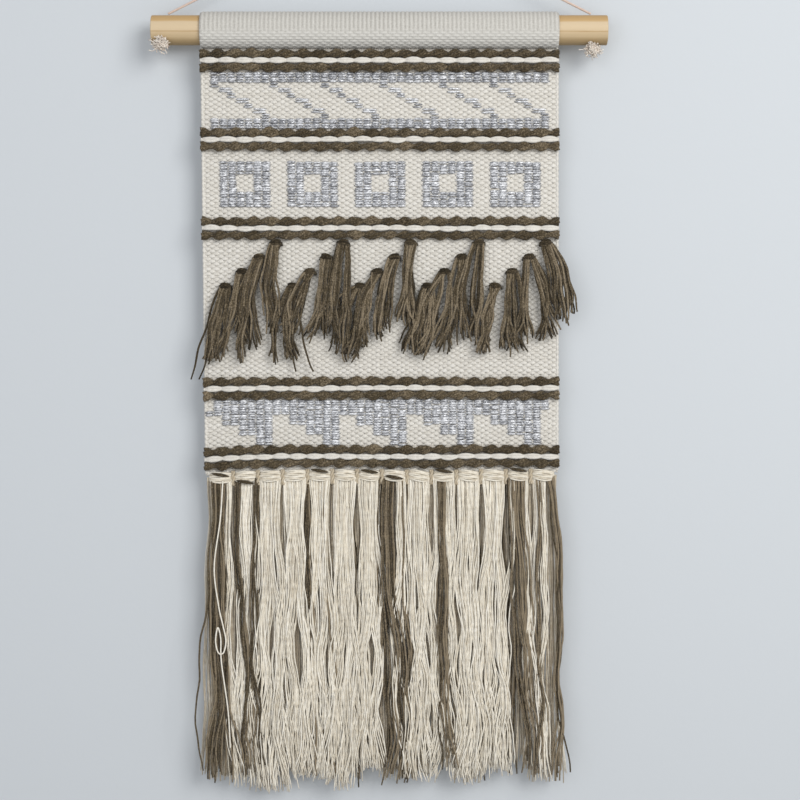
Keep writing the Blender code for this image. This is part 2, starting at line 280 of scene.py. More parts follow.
# How far each knot's middle is to the right of its hole, behind it, and below the rod
KNOT_PLACES = {"left": (-0.0050, -0.0095, 0.0010), "right": (0.0006, -0.0040, 0.0045)}
TUFT_HAIRS = 300
TUFT_HAIR_RADIUS = 0.00040
teased = yarn_finish(
    "teased_twine", (0.45, 0.36, 0.29), (0.72, 0.64, 0.56), (0.88, 0.83, 0.76),
    twists=160, fleck=900, hairs=4200, bump=0.3, roughness=0.95, sheen=0.3)
chance = np.random.default_rng(11)
for side, hole_place in (("left", -hole_x), ("right", hole_x)):
    right_by, back_by, down_by = KNOT_PLACES[side]
    centre = np.array([hole_place + right_by, back_by, rod_z - rod_radius - down_by])
    turn = np.linspace(0, 2 * pi, 64)
    loop = np.stack([np.sin(turn) + 2 * np.sin(2 * turn), -0.8 * np.sin(3 * turn),
                     np.cos(turn) - 2 * np.cos(2 * turn)], axis=1) * KNOT_SIZE
    stub = np.concatenate([
        np.linspace((hole_place, 0, rod_z + rod_radius), (hole_place, 0, rod_z - rod_radius), 40),
        np.linspace((hole_place, -0.0006, rod_z - rod_radius - 0.0012), centre, 24)])
    tied = spin_yarns(f"{side}_knot_twine", [centre + loop, stub], KNOT_TWINE_RADIUS,
                      KNOT_TWINE_RADIUS, 8, (0.3, 1, 0.2), [[0.55], [0.5]],
                      plies=3, ply_turn=TWINE_TURN)
    spread = chance.normal(size=(TUFT_HAIRS, 3)) * (1.1, 0.5, 0.8)
    spread /= np.linalg.norm(spread, axis=1, keepdims=True)
    reach = chance.uniform(0.0010, 0.0036, (TUFT_HAIRS, 1, 1))
    share = np.linspace(0, 1, 11)[None, :, None]
    bend = chance.normal(size=(TUFT_HAIRS, 1, 3)) * (0.0026, 0.0014, 0.0022)
    waves = chance.uniform(0.8, 1.6, (TUFT_HAIRS, 1, 3))
    curl = chance.normal(size=(TUFT_HAIRS, 1, 3)) * 0.0016 * np.sin(2 * pi * waves * share)
    hairs = centre + share * reach * spread[:, None, :] + share**2 * bend + curl
    hairs[:, :, 1] -= 0.002 * share[:, :, 0]
    tuft = spin_yarns(f"{side}_knot_tuft", hairs, TUFT_HAIR_RADIUS, TUFT_HAIR_RADIUS, 4,
                      (0.3, 0.2, 1), chance.uniform(0.3, 1, (TUFT_HAIRS, 1)))
    for piece, finish in ((tied, twine), (tuft, teased)):
        piece.data.materials.append(finish)
        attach(piece, "rod")
    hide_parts(f"{side}_stopper_knot")

# ---- Rod ----
# A planed pine dowel with sawn ends and a small upright hole near each end for the cord.
# Growth rings run along it as long darker lines, and show as arcs on the sawn ends.

PITH_DEPTH = 0.030  # the tree's middle, below the rod's
RING_SPACING = 0.0052
pine = Finish("pine", Roughness=0.48)
spot = pine.node("TexCoord", output=3)
long_grain = pine.node("Mapping", inputs={"Vector": spot, "Scale": (0.06, 1, 1),
                                          "Location": (0, 0, PITH_DEPTH - rod_z)})
waver = pine.node("TexNoise", inputs={"Vector": long_grain, "Scale": 90.0, "Detail": 2.0})
cut = pine.node("SeparateXYZ", inputs={0: long_grain})
deep_way, up_way = (Value(pine.tree, cut.socket.node.outputs[i]) for i in (1, 2))
ring = (deep_way * deep_way + up_way * up_way).power(0.5) + waver * 0.0030 - 0.0015
fibre = pine.node("Mapping", inputs={"Vector": spot, "Scale": (0.03, 1, 1)})
fine = pine.node("TexNoise", inputs={"Vector": fibre, "Scale": 1900.0, "Detail": 3.0})
grain_and_underside_shade = (ring - 0.0175) * 40 + fine * 0.05 - 0.025
ridges = (ring * (2 * pi / RING_SPACING)).sine() * 0.5 + 0.5
# The ramp runs from the rod's underside at 0 to its top at 1. Its darkest stops, at the bottom,
# paint the underside darker as painted shade; the other stops are the grain's own stripes.
pine.feed("Base Color", pine.node("ValToRGB", {"stops": [
    (0.00, (0.36, 0.25, 0.12)), (0.20, (0.43, 0.31, 0.165)), (0.30, (0.53, 0.40, 0.235)),
    (0.455, (0.53, 0.40, 0.24)), (0.485, (0.42, 0.28, 0.135)), (0.515, (0.57, 0.44, 0.275)),
    (0.765, (0.58, 0.455, 0.295)), (0.825, (0.50, 0.33, 0.15)), (0.965, (0.49, 0.315, 0.14)),
    (1.0, (0.55, 0.40, 0.22))]}, {"Fac": grain_and_underside_shade}))
pine.feed("Roughness", fine * 0.25 + 0.40)
pine.feed("Normal", pine.node("Bump", inputs={
    "Strength": 0.35, "Distance": 0.0003, "Height": fine + ridges * 0.3}))
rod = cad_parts["rod"]
rod.data.materials.clear()
rod.data.materials.append(pine.material)

# ---- Cloth ----
# One cotton cloth about 30 cm wide. Its top is folded round the rod and sewn down, and it
# hangs straight from there. This thin core fills the pinholes between the yarns woven over it.

CLOTH_HALF = 0.150
WARPS = 84
WARP_PITCH = 2 * CLOTH_HALF / WARPS
BEADS = 21
BEAD = 2 * CLOTH_HALF / BEADS
DRAWN_IN = 0.0040  # at the lower left, where the foot also dips
FOOT_DIP = 0.0036
FOOT_DIP_WIDTH = 0.022
RIPPLE = 0.00035  # of the weave, growing towards the foot
CORE_RADIUS = 0.0134  # where it goes round the rod
CORE_WRAP = 2.9  # each way from the rod's top, in radians
CORE_THICKNESS = 0.0005
CORE_INSET = 0.001  # from each selvedge
panel_low, panel_high = (np.array(corner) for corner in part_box("woven_panel"))
cloth_top, cloth_foot = panel_high[2], panel_low[2]
cloth_height = cloth_top - cloth_foot


def hung(points):
    """The cloth as it hangs: drawn in a little at the lower left, its foot dipping there."""
    points = np.array(points, float)
    x, z = points[..., 0], points[..., 2]
    down = np.clip((cloth_top - z) / cloth_height, 0, 1.2)
    points[..., 0] = x + DRAWN_IN * down * (CLOTH_HALF - x) / (2 * CLOTH_HALF)
    dip = FOOT_DIP * down**4 * np.exp(-np.maximum(x + CLOTH_HALF, 0) / FOOT_DIP_WIDTH)
    points[..., 2] = z - dip + RIPPLE * np.sin(41 * x + 60 * z) * down
    return points


core_around = [(CORE_RADIUS * sin(a), rod_z + CORE_RADIUS * cos(a))
               for a in np.linspace(-CORE_WRAP, CORE_WRAP, 60)]
core_line = [(0.0, cloth_foot + 0.0002)]
core_line += [(0.0, z) for z in np.linspace(cloth_foot, cloth_top, 60)[1:]]
core_line += reversed(core_around[1:])
core_grid = np.array([[(x, y, z) for y, z in core_line]
                      for x in np.linspace(-CLOTH_HALF + CORE_INSET, CLOTH_HALF - CORE_INSET, 43)])
core_grid = hung(core_grid)
columns, levels = core_grid.shape[:2]
core_mesh = bpy.data.meshes.new("cloth_core")
count = np.arange(columns * levels).reshape(columns, levels)
core_faces = np.stack([count[:-1, :-1], count[1:, :-1], count[1:, 1:], count[:-1, 1:]], axis=-1)
core_mesh.from_pydata(core_grid.reshape(-1, 3).tolist(), [], core_faces.reshape(-1, 4).tolist())
core = bpy.data.objects.new("cloth_core", core_mesh)
bpy.context.scene.collection.objects.link(core)
bpy.context.view_layer.objects.active = core
thick = core.modifiers.new("thickness", "SOLIDIFY")
thick.thickness = CORE_THICKNESS
thick.offset = 0
bpy.ops.object.modifier_apply(modifier="thickness")
core_mesh.shade_smooth()

weave_ground = Finish("cotton_core_painted_shade", Roughness=0.95)
spot = weave_ground.node("TexCoord", output=3)
lint = weave_ground.node("TexNoise", inputs={"Vector": spot, "Scale": 2600.0, "Detail": 3.0})
# The core is a little darker than the cream cotton of the wefts: painted shade in the pinholes
# between them.
weave_ground.feed("Base Color", weave_ground.node("ValToRGB", {"stops": [
    (0.3, (0.50, 0.46, 0.40)), (0.7, (0.64, 0.60, 0.535))]}, {"Fac": lint}))
weave_ground.feed("Normal", weave_ground.node("Bump", inputs={
    "Strength": 0.5, "Distance": 0.0004, "Height": lint}))
core_mesh.materials.append(weave_ground.material)
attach(core, "cloth")
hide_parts("woven_panel")

# ---- Rod sleeve ----
# The cloth's own top, round the rod. The weave is finer here: upright ribs over the top and
# front, closing into small weft dimples just above the first band.

SLEEVE_RADIUS = 0.0158
SLEEVE_HALF = CLOTH_HALF + 0.0006
LINING_RADIUS = 0.01295
RIB_HEIGHT = 0.00070
DIMPLE_SPACING = 0.0026
END_ROUNDING = 0.0009
cotton = yarn_finish(
    "cream_cotton", (0.52, 0.49, 0.435), (0.645, 0.62, 0.57), (0.74, 0.72, 0.68),
    twists=210, fleck=500, hairs=3800, bump=0.4, roughness=0.9, sheen=0.2)
steps_along, steps_round = 4 * WARPS + 1, 180
x = np.linspace(-SLEEVE_HALF, SLEEVE_HALF, steps_along)[:, None]
around = (2 * pi * np.arange(steps_round) / steps_round)[None, :]
below = np.clip((-0.02 - np.cos(around)) / 0.35, 0, 1)
rib = np.abs(np.sin(pi * (x + CLOTH_HALF) / WARP_PITCH))
row = around * SLEEVE_RADIUS / DIMPLE_SPACING
dimple = np.abs(np.cos(pi * (x + CLOTH_HALF) / (2 * WARP_PITCH) + pi / 2 * np.floor(row)))
dimple = (dimple * np.abs(np.sin(pi * (row % 1)))) ** 0.7
worked = (1 - below) * rib + below * dimple
end_round = END_ROUNDING * (1 - np.sqrt(np.clip(1 - (np.abs(x) / SLEEVE_HALF) ** 60, 0, 1)))
radius = SLEEVE_RADIUS - RIB_HEIGHT + RIB_HEIGHT * worked - end_round
outer = np.stack([np.broadcast_to(x, radius.shape), -radius * np.sin(around),
                  rod_z + radius * np.cos(around)], axis=-1)
inner = outer.copy()
inner[..., 1] = -LINING_RADIUS * np.sin(around)
inner[..., 2] = rod_z + LINING_RADIUS * np.cos(around)
inner = inner[[0, steps_along // 2, -1]]
count = np.arange(steps_along * steps_round).reshape(steps_along, steps_round)
lining = count.size + np.arange(3 * steps_round).reshape(3, steps_round)
ring_pairs = [(count[i], count[i + 1]) for i in range(steps_along - 1)]
ring_pairs += [(lining[1], lining[0]), (lining[2], lining[1]), (lining[0], count[0]),
               (count[-1], lining[2])]
faces = [np.stack([first, np.roll(first, -1), np.roll(second, -1), second], axis=-1)
         for first, second in ring_pairs]
sleeve_mesh = bpy.data.meshes.new("sleeve_cloth")
sleeve_mesh.from_pydata(np.concatenate([outer.reshape(-1, 3), inner.reshape(-1, 3)]).tolist(), [],
                        np.concatenate(faces).tolist())
sleeve_mesh.shade_smooth()
# A darker copy of the cream cotton: painted shade for the sleeve's top, which faces up to the
# light.
sleeve_mesh.materials.append(yarn_finish(
    "sleeve_cotton_painted_shade", (0.36, 0.345, 0.315), (0.53, 0.515, 0.48), (0.64, 0.63, 0.595),
    twists=210, fleck=900, hairs=3800, bump=0.3, roughness=0.9, sheen=0.2))
# Its tone is painted light and shade: darker in the grooves between the ribs, lighter over the
# dimpled lower side.
tone = sleeve_mesh.attributes.new("tone", "FLOAT", "POINT")
lit = np.concatenate([(0.75 * worked - 0.15 + 0.45 * below).ravel(), np.full(inner.size // 3, 0.4)])
tone.data.foreach_set("value", lit.astype(np.float32))
sleeve = bpy.data.objects.new("sleeve_cloth", sleeve_mesh)
bpy.context.scene.collection.objects.link(sleeve)
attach(sleeve, "cloth")
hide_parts("rod_sleeve")

# ---- Ground wefts ----
# Thick soft cotton wefts beaten down hard, each over one warp and under the next, so that
# only their oval floats show, staggered from row to row.

ROWS = {"line": 22, "square": 26, "tassel": 54, "triangle": 18}
POINTS_TO_WARP = 4
FOOT_ROWS = (0.0009, 0.0026)  # below the last band
# Half height and half depth between two warps, and how much more they are in a float
WEFT_HEIGHT, WEFT_HEIGHT_MORE = 0.00112, 0.00078
WEFT_DEPTH, WEFT_DEPTH_MORE = 0.00062, 0.00012
FLOAT_OUT = 0.00058  # from the middle of the cloth
BETWEEN_OUT = 0.00026  # half way between two warps
band_boxes = [(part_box(f"band_{n}_lower_yarn")[0].z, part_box(f"band_{n}_upper_yarn")[1].z)
              for n in range(1, 6)]
fields = {name: (band_boxes[i][0], band_boxes[i + 1][1]) for i, name in enumerate(ROWS)}
chance = np.random.default_rng(23)


def row_level(field, row):
    """The height of a weft row, counted down from the top of its field."""
    top, foot = fields[field]
    return top - (row + 0.5) * (top - foot) / ROWS[field]


def weft_rows(name, levels, first_row):
    """Plain-weave rows at the given heights, right across the cloth."""
    number = np.arange(len(levels))[:, None] + first_row
    place = np.arange(WARPS * POINTS_TO_WARP + 1)[None, :] / POINTS_TO_WARP
    swing = np.cos(pi * (place + number))
    jitter = chance.normal(size=(len(levels), WARPS + 1, 3))
    nearest = np.rint(place[0]).astype(int)
    jitter = jitter[:, nearest, :] * np.abs(swing)[..., None]
    x = np.broadcast_to(place * WARP_PITCH - CLOTH_HALF, swing.shape)
    flat = np.sign(swing) * np.abs(swing) ** 0.5
    y = -FLOAT_OUT * flat - BETWEEN_OUT * (1 - np.abs(swing)) + 0.00005 * jitter[..., 1]
    z = np.array(levels)[:, None] + 0.00013 * jitter[..., 0]
    across = WEFT_HEIGHT + WEFT_HEIGHT_MORE * np.abs(swing) ** 0.4
    across = across * (1 + 0.05 * jitter[..., 2])
    deep = WEFT_DEPTH + WEFT_DEPTH_MORE * np.abs(swing)
    paths = hung(np.stack([x, y, z], axis=-1))
    tones = 0.52 + 0.08 * chance.normal(size=(len(levels), 1)) + 0.06 * jitter[..., 2]
    rows = spin_yarns(name, paths, across, deep, 6, (0, 0, 1), tones)
    rows.data.materials.append(cotton)
    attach(rows, "cloth")


for field, rows in ROWS.items():
    levels = [row_level(field, row) for row in range(rows)]
    middle = rows // 2
    weft_rows(f"{field}_field_upper_wefts", levels[:middle], 0)
    weft_rows(f"{field}_field_lower_wefts", levels[middle:], middle)
weft_rows("foot_wefts", [band_boxes[4][0] - down_by for down_by in FOOT_ROWS], 0)

# ---- Warps and selvedges ----
# Straight cotton warps from the sleeve to the foot, hidden in the ground and seen only from
# behind the bands. At each side the wefts turn back round the last one in a bumpy cord.

WARP_RADIUS = 0.00062
SELVEDGE_RADIUS = 0.00115
WEFT_TURNS = 0.0043  # from one turned weft to the next
warp_x = np.arange(WARPS + 1) * WARP_PITCH - CLOTH_HALF
warp_levels = np.linspace(cloth_top + 0.002, cloth_foot - 0.001, 24)
warp_paths = [[(x, 0, z) for z in warp_levels] for x in warp_x[1:-1]]
warps = spin_yarns("warps", hung(warp_paths), WARP_RADIUS, WARP_RADIUS, 6, (1, 0, 0),
                   0.45 + 0.1 * chance.normal(size=(WARPS - 1, 1)))
edge_levels = np.linspace(cloth_top + 0.001, cloth_foot + 0.0004, 640)
edge_paths = [[(side * (CLOTH_HALF - 0.0002), -0.0003, z) for z in edge_levels] for side in (-1, 1)]
turned_weft = np.abs(np.sin(pi * np.tile(edge_levels, (2, 1)) / WEFT_TURNS))
bump = 0.78 + 0.34 * turned_weft
# Their tone follows the same bumps, lighter on each turned weft and darker in the dips between:
# painted shade.
selvedges = spin_yarns("selvedges", hung(edge_paths), SELVEDGE_RADIUS * bump,
                       SELVEDGE_RADIUS * 0.91 * bump, 8, (1, 0, 0), 0.25 + 0.4 * turned_weft)
for piece in (warps, selvedges):
    piece.data.materials.append(cotton)
    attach(piece, "cloth")

# ---- Bands ----
# Five bands, each of two rows of thick taupe wool with a cream row between. The wool goes
# behind one warp at each bead, which pinches it into lobes, and the cream swells there.

wool = yarn_finish(
    "taupe_wool", (0.018, 0.013, 0.006), (0.078, 0.059, 0.034), (0.25, 0.20, 0.135),
    twists=90, fleck=900, hairs=3400, bump=1.0, roughness=0.95, sheen=0.15, contrast=1.7)
PLIES = 3
PLY_BEADS = 1.9  # beads to one turn of the plies round each other
WOOL_OUT, WOOL_LOBE_OUT = 0.0036, 0.0012  # in front of the cloth's middle, and more in a lobe
PLY_OUT = 0.0011  # from the middle of the row
CREAM_OUT, CREAM_LOBE_OUT = 0.0046, 0.0015
CREAM_HEIGHT, CREAM_LOBE_HEIGHT = 0.00108, 0.00042
CREAM_DEPTH, CREAM_LOBE_DEPTH = 0.0007, 0.0005


def row_places(per_bead):
    """Places along a band's row, in beads from the cloth's left side."""
    return np.linspace(-0.06, BEADS + 0.06, BEADS * per_bead + 1)


for number in range(1, 6):
    for row, sign in (("upper", 1), ("lower", -1)):
        low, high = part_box(f"band_{number}_{row}_yarn")
        middle_z, half = (low.z + high.z) / 2, (high.z - low.z) / 2
        place = row_places(14)
        swell = 1 - np.abs(np.sin(pi * place)) ** 2.4
        nearest = np.clip(np.rint(place), 0, BEADS).astype(int)
        wild = chance.normal(size=(3, BEADS + 2))[:, nearest]
        paths, sizes, tones = [], [], []
        for ply in range(PLIES):
            turn = 2 * pi * (ply / PLIES + place / PLY_BEADS + 0.13 * number)
            off = half * (0.28 + 0.22 * swell)
            y = -WOOL_OUT - WOOL_LOBE_OUT * swell + PLY_OUT * np.sin(turn) + 0.0002 * wild[0]
            z = middle_z + off * np.cos(turn) + sign * 0.0004 * swell + 0.0002 * wild[1]
            paths.append(np.stack([place * BEAD - CLOTH_HALF, y, z], axis=1))
            sizes.append(half * (0.34 + 0.30 * swell) * (1 + 0.07 * wild[2]))
            tones.append(0.38 + 0.16 * chance.random() + 0.07 * wild[1])
        yarn = spin_yarns(f"band_{number}_{row}_wool", hung(paths), np.array(sizes),
                          np.array(sizes) * 0.72, 12, (0, 0, 1), tones,
                          plies=4, ply_turn=0.016, groove=0.26)
        yarn.data.materials.append(wool)
        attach(yarn, "cloth")
        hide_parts(f"band_{number}_{row}_yarn")
    cream_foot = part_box(f"band_{number}_lower_yarn")[1].z
    cream_z = (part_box(f"band_{number}_upper_yarn")[0].z + cream_foot) / 2
    place = row_places(16)
    swell = np.abs(np.sin(pi * place)) ** 0.8
    nearest = np.clip(np.rint(place - 0.5), 0, BEADS).astype(int)
    wild = chance.normal(size=(2, BEADS + 2))[:, nearest]
    tall = CREAM_HEIGHT + CREAM_LOBE_HEIGHT * swell * (1 + 0.25 * wild[0])
    deep = CREAM_DEPTH + CREAM_LOBE_DEPTH * swell
    paths = [np.stack([place * BEAD - CLOTH_HALF, -CREAM_OUT - CREAM_LOBE_OUT * swell,
                       cream_z + sign * (0.00042 + 0.00066 * swell) + 0.00030 * wild[1] * swell],
                      axis=1) for sign in (-1, 1)]
    cream = spin_yarns(f"band_{number}_cream_row", hung(paths), tall, deep, 10, (0, 0, 1),
                       [[0.46], [0.38]], plies=3, ply_turn=0.012, groove=0.12)
    cream.data.materials.append(cotton)
    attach(cream, "cloth")

# ---- Silver inlays ----
# Metallic yarn laid in with the wefts, floating over two warps at a time, so that it stands
# in upright columns. It makes the slanting lines, the hollow squares and the stepped triangles.

FLOAT_HALF = 1.08  # in warps
FLOAT_SIZE, FLOAT_SIZE_MORE = 0.00060, 0.00062  # half height at its ends, and more in the middle
SILVER_OUT, SILVER_ARCH = 0.0006, 0.0015
LINES, LINE_SPACING, LINE_STEPS = 6, 13.4, 7
MOTIFS = 5  # squares in one row, triangles in another
FIRST_SQUARE, MOTIF_SPACING = 10, 16
silver = Finish("silver_yarn", Metallic=0.35)
spot = silver.node("TexCoord", output=3)
squeezed = silver.node("Mapping", inputs={"Vector": spot, "Scale": (0.7, 1, 1.6)})
flake = silver.node("TexVoronoi", {"feature": "F1"}, {"Vector": squeezed, "Scale": 950.0}, output=1)
flake = silver.node("SeparateXYZ", inputs={0: flake})
other_flake = Value(silver.tree, flake.socket.node.outputs[1])
lint = silver.node("TexNoise", inputs={"Vector": spot, "Scale": 1500.0, "Detail": 3.0})
tone = silver.node("Attribute", {"attribute_name": "tone"}, output=2)
# The bright flecks in the base colour are painted glints of the metallic film.
painted_glint = flake * 0.75 + lint * 0.35 + tone * 0.5 - 0.35
silver.feed("Base Color", silver.node("ValToRGB", {"stops": [
    (0.10, (0.25, 0.255, 0.275)), (0.45, (0.58, 0.59, 0.615)), (0.85, (0.95, 0.96, 0.99))]},
    {"Fac": painted_glint}))
silver.feed("Roughness", other_flake * 0.35 + 0.25)
silver.feed("Normal", silver.node("Bump", inputs={
    "Strength": 0.8, "Distance": 0.0005, "Height": flake + lint}))


def silver_floats(name, node, stitches, field):
    """Short silver floats. Each stitch is its warp, its row, its tone, a painted shine, and its
    thickness.
    """
    share = np.linspace(-1, 1, 7)[None, :]
    stitches = np.array(stitches, float)
    jitter = chance.normal(size=(len(stitches), 4, 1))
    level = row_level(field, stitches[:, 1:2])
    arch = np.cos(share * pi / 2) ** 0.7
    middle = stitches[:, :1] * WARP_PITCH - CLOTH_HALF
    x = middle + share * FLOAT_HALF * WARP_PITCH + 0.0002 * jitter[:, 0]
    y = -SILVER_OUT - SILVER_ARCH * arch - 0.0003 * np.abs(jitter[:, 1]) * arch
    z = np.broadcast_to(level + 0.00022 * jitter[:, 2], x.shape)
    across = (FLOAT_SIZE + FLOAT_SIZE_MORE * arch) * (1 + 0.10 * jitter[:, 3])
    across = across * stitches[:, 3:]
    tones = stitches[:, 2:3] + 0.16 * jitter[:, 1]
    floats = spin_yarns(name, hung(np.stack([x, y, z], axis=-1)), across, 0.7 * across, 6,
                        (0, 0, 1), tones)
    floats.data.materials.append(silver.material)
    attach(floats, "cloth")
    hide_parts(node)


odd_warps = range(3, WARPS - 1, 2)
lines = [(warp, row, 0.28, 1) for row in (0, 1, 2, 3, 18, 19, 20, 21) for warp in odd_warps]
for line in range(LINES):
    start = 2 * round((2 + LINE_SPACING * line) / 2) + 1
    for step in range(LINE_STEPS):
        for row in (4 + 2 * step, 5 + 2 * step):
            # Alternate steps of each slanting line are painted brighter: painted shine.
            painted_shine = 0.70 if step % 2 else 0.30
            lines.append((start + 2 * step, row, painted_shine, 0.72))
            if step % 2:
                lines.append((start + 2 * step + 1.2, row, painted_shine, 0.72))
silver_floats("silver_lines_yarn", "silver_lines", lines, "line")
for number in range(MOTIFS):
    middle = FIRST_SQUARE + MOTIF_SPACING * number
    square = [(middle + step, row, 0.48 if abs(step) == 3 else 0.36, 1)
              for row in range(4, 22) for step in (-5, -3, -1, 1, 3, 5)
              if not (abs(step) == 1 and 9 <= row <= 15)]
    node = f"silver_square_{number + 1}"
    silver_floats(f"{node}_yarn", node, square, "square")
triangles = [(warp, row, 0.48, 1) for row in range(4) for warp in odd_warps]
for number in range(MOTIFS):
    for step in range(4):
        for column in (1, 3):
            triangles += [(MOTIF_SPACING * number + 4 * step + column, row, 0.45, 1)
                          for row in range(4, 6 + 4 * step)]
silver_floats("silver_triangles_yarn", "silver_triangles", triangles, "triangle")

# ---- Tassels ----
# Twenty bunches of cut taupe wool in five slanting groups of four. Each is looped round two
# warps in a lark's head, whose small bar shows at its top, and swept sideways by its neighbours.

TASSEL_STRANDS = 34
TASSEL_LOCKS = 4
TASSEL_STRAND_RADIUS = 0.00105
KNOT_DROP = 0.0032  # below the top of the tassel
BUNCH_HALF, BUNCH_WIDENS = 0.0043, 0.0024  # half width at the knot, and more at the ends
BUNCH_OUT = 0.0050
HEAD_TURNS = (0.0036, 0.0049, 0.0052)  # half widths of the turns in its bar
HEAD_TURN_DROP = 0.0015  # from one turn to the next
HEAD_OUT, HEAD_ARCH = 0.0044, 0.0036
HEAD_RADIUS = 0.0011
TASSEL_LEANS = [
    (-0.009, -0.014, -0.012, -0.005), (-0.003, -0.013, -0.010, -0.007),
    (-0.010, -0.014, -0.012, -0.003), (-0.007, -0.011, -0.013, -0.009),
    (-0.007, -0.003, 0.004, 0.012),
]
TASSEL_REACHES = [
    (0.058, 0.068, 0.072, 0.068), (0.058, 0.048, 0.064, 0.070), (0.058, 0.062, 0.060, 0.066),
    (0.056, 0.066, 0.070, 0.074), (0.054, 0.060, 0.066, 0.064),
]
# Tassels with two long stray strands: how far these lean and reach
TASSEL_STRAYS = {0: (-0.021, 0.080), 4: (0.006, 0.072), 8: (-0.034, 0.052)}
chance = np.random.default_rng(37)


def spaced(count):
    """Places from -1 to 1, evenly filled but in no order."""
    places = (2 * (np.arange(count) + chance.uniform(0.2, 0.8, count)) / count - 1)[:, None]
    return chance.permutation(places)


for number in range(20):
    node = f"tassel_{number + 1:02d}"
    low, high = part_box(node)
    group, place_in_group = divmod(number, 4)
    knot_z = high.z - KNOT_DROP
    knot_x = hung([[(low.x + high.x) / 2, 0, knot_z]])[0][0]
    share = np.linspace(0, 1, 26)[None, :]
    n = TASSEL_STRANDS
    start, depth = spaced(n), spaced(n)
    lock = np.floor((start + 1) / 2 * TASSEL_LOCKS).astype(int).clip(0, TASSEL_LOCKS - 1)
    lock_lean = chance.normal(0, 0.0036, TASSEL_LOCKS)[lock]
    lock_bend = chance.normal(0, 0.0030, TASSEL_LOCKS)[lock]
    lock_wave = chance.uniform(0, 2 * pi, TASSEL_LOCKS)[lock]
    lock_curl = chance.normal(0, 0.0030, TASSEL_LOCKS)[lock]
    reach = TASSEL_REACHES[group][place_in_group] * (
        1 + chance.normal(0, 0.04, TASSEL_LOCKS)[lock] + chance.normal(0, 0.05, (n, 1)))
    lean = TASSEL_LEANS[group][place_in_group] + lock_lean + chance.normal(0, 0.0016, (n, 1))
    if number in TASSEL_STRAYS:
        lean[-2:], reach[-2:] = TASSEL_STRAYS[number]
    wave = chance.uniform(0, 2 * pi, (n, 3, 1))
    x = (knot_x + start * (BUNCH_HALF + BUNCH_WIDENS * np.sqrt(share))
         + lean * share ** 0.85 * (1 + 0.35 * (1 - share)) + lock_bend * np.sin(pi * share) * 1.2
         + 0.0012 * share * np.sin(lock_wave + 10 * share) + lock_curl * share**4
         + 0.0007 * share * np.sin(wave[:, 0] + 16 * share)
         + 0.0030 * share**4 * np.sin(wave[:, 1]))
    y = (-BUNCH_OUT - (depth + 1) * (0.0004 + 0.0018 * np.sqrt(share))
         - 0.0014 * np.sin(pi * share) + 0.0009 * share * np.sin(wave[:, 2] + 9 * share))
    z = knot_z + 0.001 - reach * share * np.sqrt(np.clip(1 - (lean / reach) ** 2 * 0.6, 0.3, 1))
    z = np.broadcast_to(z, x.shape)
    across = np.broadcast_to(TASSEL_STRAND_RADIUS * (1 - 0.30 * share**6), x.shape)
    # Their tone rises with depth, so the strands at the back of the bunch are darker: painted shade
    # inside the bunch.
    strands = spin_yarns(f"{node}_strands", np.stack([x, y, z], axis=-1), across, across, 5,
                         (1, 0, 0), 0.05 + 0.52 * chance.random((n, 1)) + 0.15 * (depth + 1),
                         plies=2, ply_turn=0.007, groove=0.20)
    bars = []
    for bar, wide in enumerate(HEAD_TURNS):
        turn = np.linspace(-0.1 * pi, 1.1 * pi, 16)
        bars.append(np.stack([
            knot_x - wide * np.cos(turn), -HEAD_OUT - HEAD_ARCH * np.sin(turn) + 0.0004 * bar,
            knot_z + 0.0030 - HEAD_TURN_DROP * bar + (np.sin(turn) - 1) * 0.0011
            + 0.0004 * chance.normal() * np.cos(turn)], axis=1))
    head = spin_yarns(f"{node}_head", bars, HEAD_RADIUS, HEAD_RADIUS, 8, (0, 0, 1),
                      0.05 + 0.35 * chance.random((3, 1)), plies=2, ply_turn=0.006, groove=0.18)
    for piece in (strands, head):
        piece.data.materials.append(wool)
        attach(piece, node)
    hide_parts(node)

# ---- Fringe ----
# Fourteen thick bundles along the foot, of fine cotton yarn with some taupe wool laid in, each
# looped up round the last warps in a lark's head. The bar of the loop lies across its top.

BUNDLES = 14
FRINGE_LOCKS = (-0.72, -0.36, 0.0, 0.36, 0.72)  # their middles, in half widths of the bundle
LOCK_STRANDS = 13
LOCK_HALF = 2.3  # mm
COTTON_SWAY, WOOL_SWAY = 1.9, 1.4
STRANDS_DROP = 0.0035  # their start, below the top of the bundle
CUT_SLANTS = 0.010  # shorter at the cloth's right side
COTTON_RADIUS = 0.00057
BACK_COTTON_RADIUS = 0.00060
WOOL_RADIUS = 0.00088
BAR_TURNS = 8
BAR_HEIGHT = 0.0094
BAR_DEPTH = 0.0050
BAR_DROP = 0.0038
LOOP_SIZE = (0.00070, 0.00080)  # half height and half depth of its yarn
